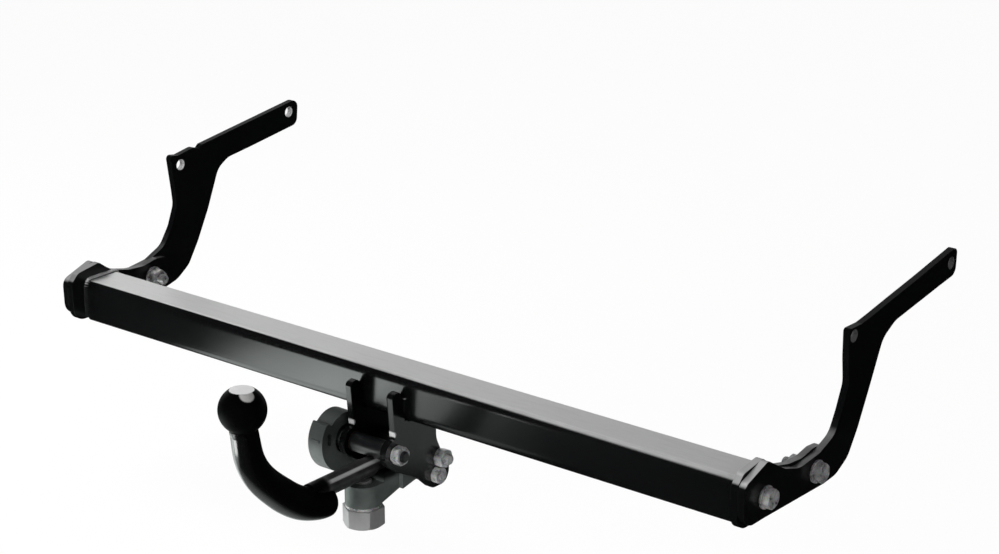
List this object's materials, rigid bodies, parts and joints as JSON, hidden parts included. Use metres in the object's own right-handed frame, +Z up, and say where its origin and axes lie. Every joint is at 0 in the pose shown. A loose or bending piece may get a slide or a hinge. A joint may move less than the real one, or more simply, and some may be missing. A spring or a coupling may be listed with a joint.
{
  "type": "towbar",
  "caption": "Towbar with a square cross beam, two bolted side arms and a detachable swan neck with coupling ball, held in a cheek bracket by a screw and a hand wheel.",
  "frame": {"origin": "centre of the 50 mm coupling ball", "axes": "+X across the vehicle to the end away from the hand wheel, +Y forwards from the ball to the vehicle, +Z up"},
  "size_m": [0.97, 0.6085, 0.3068],
  "materials": {
    "black_coat": "glossy powder coat",
    "neck_coat": "glossy black paint, shank and top of the ball left bare",
    "block_coat": "satin grey paint, thin on the boss",
    "zinc": "zinc plated",
    "bare_steel": "turned and oiled",
    "bronze": "plain bearing bronze",
    "wheel_plastic": "satin, glass filled",
    "cap_plastic": "moulded"
  },
  "bodies": {
    "towbar_frame": {"cross_beam": "black_coat", "end_plate_left": "black_coat", "end_plate_right": "black_coat", "side_arm_left": "black_coat", "side_arm_right": "black_coat", "arm_bolts": "zinc", "arm_washers": "zinc", "arm_nuts": "zinc", "beam_welds": "black_coat", "cheek_left": "black_coat", "cheek_right": "black_coat", "cheek_welds": "black_coat", "bush_left": "bronze", "bush_right": "bronze", "receiver_block": "block_coat", "support_screw": "bare_steel", "support_washer": "zinc", "tie_bolt_upper": "zinc", "tie_bolt_lower": "zinc", "tie_nut_upper": "zinc", "tie_nut_lower": "zinc"},
    "clamp_wheel": {"clamp_shaft": "black_coat", "shaft_nut": "zinc", "hand_wheel": "wheel_plastic", "wheel_screw": "bare_steel", "wheel_cap": "cap_plastic"},
    "ball_neck": {"swan_neck": "neck_coat", "shank_key": "bare_steel"}
  },
  "joints": [
    {"name": "wheel_turn", "type": "hinge", "parent": "towbar_frame", "child": "clamp_wheel", "pos_m": [-0.0496, 0.193, -0.104], "axis": [1, 0, 0], "range_deg": [0, 90]},
    {"name": "neck_slide", "type": "slide", "parent": "towbar_frame", "child": "ball_neck", "axis": [0, -1, 0], "range_m": [0, 0.11]}
  ]
}
